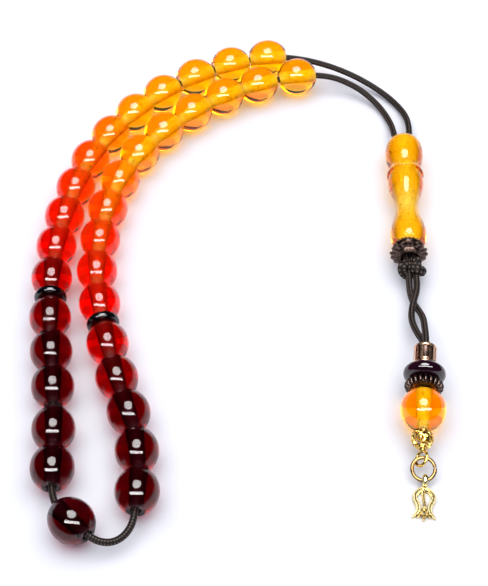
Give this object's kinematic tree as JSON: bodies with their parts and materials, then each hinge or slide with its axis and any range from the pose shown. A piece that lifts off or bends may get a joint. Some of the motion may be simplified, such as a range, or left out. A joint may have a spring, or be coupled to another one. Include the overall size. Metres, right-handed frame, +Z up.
{
  "type": "prayer beads",
  "caption": "String of barrel-shaped resin beads with marker discs on a braided cord, with a turned imame, knot and small pendant tassel ending in a tulip charm.",
  "frame": {"origin": "middle of the footprint of everything but the free cords, on the surface the string lies on", "axes": "+Z up; +Y along the string's length, from the pendant's end towards the top of the loop; the imame and pendant are at +X"},
  "size_m": [0.1089, 0.1769, 0.0122],
  "materials": {
    "resin_01": "clear tinted cast resin, polished",
    "resin_02": "clear tinted cast resin, polished",
    "resin_03": "clear tinted cast resin, polished",
    "resin_04": "clear tinted cast resin, polished",
    "resin_05": "clear tinted cast resin, polished",
    "resin_06": "clear tinted cast resin, polished",
    "resin_07": "clear tinted cast resin, polished",
    "resin_08": "clear tinted cast resin, polished",
    "resin_09": "clear tinted cast resin, polished",
    "resin_10": "clear tinted cast resin, polished",
    "resin_11": "clear tinted cast resin, polished",
    "resin_12": "clear tinted cast resin, polished",
    "resin_13": "clear tinted cast resin, polished",
    "resin_14": "clear tinted cast resin, polished",
    "resin_15": "clear tinted cast resin, polished",
    "resin_16": "clear tinted cast resin, polished",
    "resin_17": "clear tinted cast resin, polished",
    "resin_18": "clear tinted cast resin, polished",
    "resin_19": "clear tinted cast resin, polished",
    "resin_20": "clear tinted cast resin, polished",
    "resin_21": "clear tinted cast resin, polished",
    "resin_22": "clear tinted cast resin, polished",
    "resin_23": "clear tinted cast resin, polished",
    "resin_24": "clear tinted cast resin, polished",
    "resin_25": "clear tinted cast resin, polished",
    "resin_26": "clear tinted cast resin, polished",
    "resin_27": "clear tinted cast resin, polished",
    "resin_28": "clear tinted cast resin, polished",
    "resin_29": "clear tinted cast resin, polished",
    "resin_30": "clear tinted cast resin, polished",
    "resin_31": "clear tinted cast resin, polished",
    "resin_32": "clear tinted cast resin, polished",
    "resin_33": "clear tinted cast resin, polished",
    "cord": "fine round braid",
    "black_disc": "polished black",
    "amber_resin": "clear amber cast resin, polished",
    "dark_bronze": "antiqued dark bronze",
    "plum_resin": "dark purple, polished",
    "antique_gold": "antiqued gold plate"
  },
  "bodies": {
    "cord": {"loop_cord": "cord", "knot": "cord", "tassel_cord_upper_left": "cord", "tassel_cord_upper_right": "cord"},
    "bead_01": {"bead_01": "resin_01"},
    "bead_02": {"bead_02": "resin_02"},
    "bead_03": {"bead_03": "resin_03"},
    "bead_04": {"bead_04": "resin_04"},
    "bead_05": {"bead_05": "resin_05"},
    "bead_06": {"bead_06": "resin_06"},
    "bead_07": {"bead_07": "resin_07"},
    "bead_08": {"bead_08": "resin_08"},
    "bead_09": {"bead_09": "resin_09"},
    "bead_10": {"bead_10": "resin_10"},
    "bead_11": {"bead_11": "resin_11"},
    "marker_disc_1": {"marker_disc_1": "black_disc"},
    "bead_12": {"bead_12": "resin_12"},
    "bead_13": {"bead_13": "resin_13"},
    "bead_14": {"bead_14": "resin_14"},
    "bead_15": {"bead_15": "resin_15"},
    "bead_16": {"bead_16": "resin_16"},
    "bead_17": {"bead_17": "resin_17"},
    "bead_18": {"bead_18": "resin_18"},
    "bead_19": {"bead_19": "resin_19"},
    "bead_20": {"bead_20": "resin_20"},
    "bead_21": {"bead_21": "resin_21"},
    "bead_22": {"bead_22": "resin_22"},
    "marker_disc_2": {"marker_disc_2": "black_disc"},
    "bead_23": {"bead_23": "resin_23"},
    "bead_24": {"bead_24": "resin_24"},
    "bead_25": {"bead_25": "resin_25"},
    "bead_26": {"bead_26": "resin_26"},
    "bead_27": {"bead_27": "resin_27"},
    "bead_28": {"bead_28": "resin_28"},
    "bead_29": {"bead_29": "resin_29"},
    "bead_30": {"bead_30": "resin_30"},
    "bead_31": {"bead_31": "resin_31"},
    "bead_32": {"bead_32": "resin_32"},
    "bead_33": {"bead_33": "resin_33"},
    "imame": {"imame": "amber_resin"},
    "filigree_cap": {"filigree_cap": "dark_bronze"},
    "pendant": {"eye_pin": "antique_gold", "tassel_cord_lower": "cord"},
    "meander_tube": {"meander_tube": "antique_gold"},
    "rondelle": {"rondelle": "plum_resin"},
    "daisy_spacer": {"daisy_spacer": "dark_bronze"},
    "amber_ball": {"amber_ball": "amber_resin"},
    "filigree_ball": {"filigree_ball": "antique_gold"},
    "jump_ring": {"jump_ring": "antique_gold"},
    "tulip_charm": {"tulip_charm": "antique_gold"}
  },
  "joints": [
    {"name": "bead_01_spin", "type": "hinge", "parent": "cord", "child": "bead_01", "pos_m": [0.00992, 0.08265, 0.00552], "axis": [-0.9941, -0.1086, 0], "continuous": true},
    {"name": "bead_02_spin", "type": "hinge", "parent": "cord", "child": "bead_02", "pos_m": [-0.00154, 0.07932, 0.00552], "axis": [-0.9219, -0.3875, 0], "continuous": true},
    {"name": "bead_03_spin", "type": "hinge", "parent": "cord", "child": "bead_03", "pos_m": [-0.01221, 0.07378, 0.00552], "axis": [-0.8476, -0.5306, 0], "continuous": true},
    {"name": "bead_04_spin", "type": "hinge", "parent": "cord", "child": "bead_04", "pos_m": [-0.02193, 0.06646, 0.00552], "axis": [-0.7385, -0.6742, 0], "continuous": true},
    {"name": "bead_05_spin", "type": "hinge", "parent": "cord", "child": "bead_05", "pos_m": [-0.0299, 0.05803, 0.00552], "axis": [-0.636, -0.7717, 0], "continuous": true},
    {"name": "bead_06_spin", "type": "hinge", "parent": "cord", "child": "bead_06", "pos_m": [-0.03656, 0.0485, 0.00552], "axis": [-0.51, -0.8602, 0], "continuous": true},
    {"name": "bead_07_spin", "type": "hinge", "parent": "cord", "child": "bead_07", "pos_m": [-0.04174, 0.03809, 0.00552], "axis": [-0.3712, -0.9286, 0], "continuous": true},
    {"name": "bead_08_spin", "type": "hinge", "parent": "cord", "child": "bead_08", "pos_m": [-0.0452, 0.02703, 0.00552], "axis": [-0.2386, -0.9711, 0], "continuous": true},
    {"name": "bead_09_spin", "type": "hinge", "parent": "cord", "child": "bead_09", "pos_m": [-0.04748, 0.0158, 0.00552], "axis": [-0.1561, -0.9877, 0], "continuous": true},
    {"name": "bead_10_spin", "type": "hinge", "parent": "cord", "child": "bead_10", "pos_m": [-0.04882, 0.00444, 0.00552], "axis": [-0.077, -0.997, 0], "continuous": true},
    {"name": "bead_11_spin", "type": "hinge", "parent": "cord", "child": "bead_11", "pos_m": [-0.04912, -0.00705, 0.00552], "axis": [0.022, -0.9998, 0], "continuous": true},
    {"name": "marker_disc_1_spin", "type": "hinge", "parent": "cord", "child": "marker_disc_1", "pos_m": [-0.04887, -0.01391, 0.00552], "axis": [0.0555, -0.9985, 0], "continuous": true},
    {"name": "bead_12_spin", "type": "hinge", "parent": "cord", "child": "bead_12", "pos_m": [-0.04835, -0.02075, 0.00552], "axis": [0.0877, -0.9961, 0], "continuous": true},
    {"name": "bead_13_spin", "type": "hinge", "parent": "cord", "child": "bead_13", "pos_m": [-0.0471, -0.03201, 0.00552], "axis": [0.1252, -0.9921, 0], "continuous": true},
    {"name": "bead_14_slide", "type": "slide", "parent": "cord", "child": "bead_14", "axis": [0.1111, -0.9938, 0], "range_m": [0, 0.0016]},
    {"name": "bead_15_spin", "type": "hinge", "parent": "cord", "child": "bead_15", "pos_m": [-0.04445, -0.0562, 0.00552], "axis": [0.082, -0.9966, 0], "continuous": true},
    {"name": "bead_16_slide", "type": "slide", "parent": "cord", "child": "bead_16", "axis": [0.0513, -0.9987, 0], "range_m": [0, 0.0021]},
    {"name": "bead_17_spin", "type": "hinge", "parent": "cord", "child": "bead_17", "pos_m": [-0.03795, -0.08233, 0.00552], "axis": [0.715, -0.6991, 0], "continuous": true},
    {"name": "bead_18_slide", "type": "slide", "parent": "cord", "child": "bead_18", "axis": [0.0181, 0.9998, 0], "range_m": [-0.0006, 0]},
    {"name": "bead_19_spin", "type": "hinge", "parent": "cord", "child": "bead_19", "pos_m": [-0.02356, -0.06245, 0.00552], "axis": [-0.129, 0.9916, 0], "continuous": true},
    {"name": "bead_20_spin", "type": "hinge", "parent": "cord", "child": "bead_20", "pos_m": [-0.02622, -0.05104, 0.00552], "axis": [-0.3146, 0.9492, 0], "continuous": true},
    {"name": "bead_21_spin", "type": "hinge", "parent": "cord", "child": "bead_21", "pos_m": [-0.02975, -0.04032, 0.00552], "axis": [-0.2915, 0.9566, 0], "continuous": true},
    {"name": "bead_22_spin", "type": "hinge", "parent": "cord", "child": "bead_22", "pos_m": [-0.03276, -0.02936, 0.00552], "axis": [-0.2419, 0.9703, 0], "continuous": true},
    {"name": "marker_disc_2_spin", "type": "hinge", "parent": "cord", "child": "marker_disc_2", "pos_m": [-0.03435, -0.02269, 0.00552], "axis": [-0.213, 0.9771, 0], "continuous": true},
    {"name": "bead_23_spin", "type": "hinge", "parent": "cord", "child": "bead_23", "pos_m": [-0.03568, -0.01596, 0.00552], "axis": [-0.1817, 0.9834, 0], "continuous": true},
    {"name": "bead_24_spin", "type": "hinge", "parent": "cord", "child": "bead_24", "pos_m": [-0.03712, -0.0045, 0.00552], "axis": [-0.0556, 0.9985, 0], "continuous": true},
    {"name": "bead_25_spin", "type": "hinge", "parent": "cord", "child": "bead_25", "pos_m": [-0.03702, 0.00706, 0.00552], "axis": [0.0668, 0.9978, 0], "continuous": true},
    {"name": "bead_26_spin", "type": "hinge", "parent": "cord", "child": "bead_26", "pos_m": [-0.03561, 0.01849, 0.00552], "axis": [0.1767, 0.9843, 0], "continuous": true},
    {"name": "bead_27_spin", "type": "hinge", "parent": "cord", "child": "bead_27", "pos_m": [-0.03274, 0.02976, 0.00552], "axis": [0.3315, 0.9435, 0], "continuous": true},
    {"name": "bead_28_spin", "type": "hinge", "parent": "cord", "child": "bead_28", "pos_m": [-0.02766, 0.04036, 0.00552], "axis": [0.5166, 0.8563, 0], "continuous": true},
    {"name": "bead_29_spin", "type": "hinge", "parent": "cord", "child": "bead_29", "pos_m": [-0.02092, 0.04983, 0.00552], "axis": [0.6453, 0.764, 0], "continuous": true},
    {"name": "bead_30_spin", "type": "hinge", "parent": "cord", "child": "bead_30", "pos_m": [-0.01275, 0.05809, 0.00552], "axis": [0.7514, 0.6598, 0], "continuous": true},
    {"name": "bead_31_spin", "type": "hinge", "parent": "cord", "child": "bead_31", "pos_m": [-0.00339, 0.06506, 0.00552], "axis": [0.853, 0.522, 0], "continuous": true},
    {"name": "bead_32_spin", "type": "hinge", "parent": "cord", "child": "bead_32", "pos_m": [0.00694, 0.07031, 0.00552], "axis": [0.9175, 0.3978, 0], "continuous": true},
    {"name": "bead_33_slide", "type": "slide", "parent": "cord", "child": "bead_33", "axis": [0.9853, 0.1711, 0], "range_m": [-0.0004, 0.0009]},
    {"name": "imame_spin", "type": "hinge", "parent": "cord", "child": "imame", "pos_m": [0.04839, 0.02499, 0.00547], "axis": [0.0338, 0.9994, 0], "continuous": true},
    {"name": "filigree_cap_spin", "type": "hinge", "parent": "cord", "child": "filigree_cap", "pos_m": [0.04754, 0, 0.00547], "axis": [0.0338, 0.9994, 0], "continuous": true},
    {"name": "tassel_swing", "type": "hinge", "parent": "cord", "child": "pendant", "pos_m": [0.0481, -0.0133, 0.00335], "axis": [0, 0, 1], "range_deg": [-35, 35]},
    {"name": "meander_tube_spin", "type": "hinge", "parent": "pendant", "child": "meander_tube", "pos_m": [0.0473, -0.0506, 0.00577], "axis": [0.099, 0.9901, 0.0993], "continuous": true},
    {"name": "rondelle_spin", "type": "hinge", "parent": "pendant", "child": "rondelle", "pos_m": [0.0473, -0.0506, 0.00577], "axis": [0.099, 0.9901, 0.0993], "continuous": true},
    {"name": "daisy_spacer_spin", "type": "hinge", "parent": "pendant", "child": "daisy_spacer", "pos_m": [0.0473, -0.0506, 0.00577], "axis": [0.099, 0.9901, 0.0993], "continuous": true},
    {"name": "amber_ball_spin", "type": "hinge", "parent": "pendant", "child": "amber_ball", "pos_m": [0.0473, -0.0506, 0.00577], "axis": [0.099, 0.9901, 0.0993], "continuous": true},
    {"name": "filigree_ball_spin", "type": "hinge", "parent": "pendant", "child": "filigree_ball", "pos_m": [0.0473, -0.0506, 0.00577], "axis": [0.099, 0.9901, 0.0993], "continuous": true},
    {"name": "ring_swing", "type": "hinge", "parent": "pendant", "child": "jump_ring", "pos_m": [0.04616, -0.06335, 0.00361], "axis": [-0.9961, -0.0831, -0.031], "range_deg": [0, 75]},
    {"name": "charm_swing", "type": "hinge", "parent": "jump_ring", "child": "tulip_charm", "pos_m": [0.04666, -0.06862, 0.00164], "axis": [-0.9961, -0.0831, -0.031], "range_deg": [0, 80]}
  ]
}
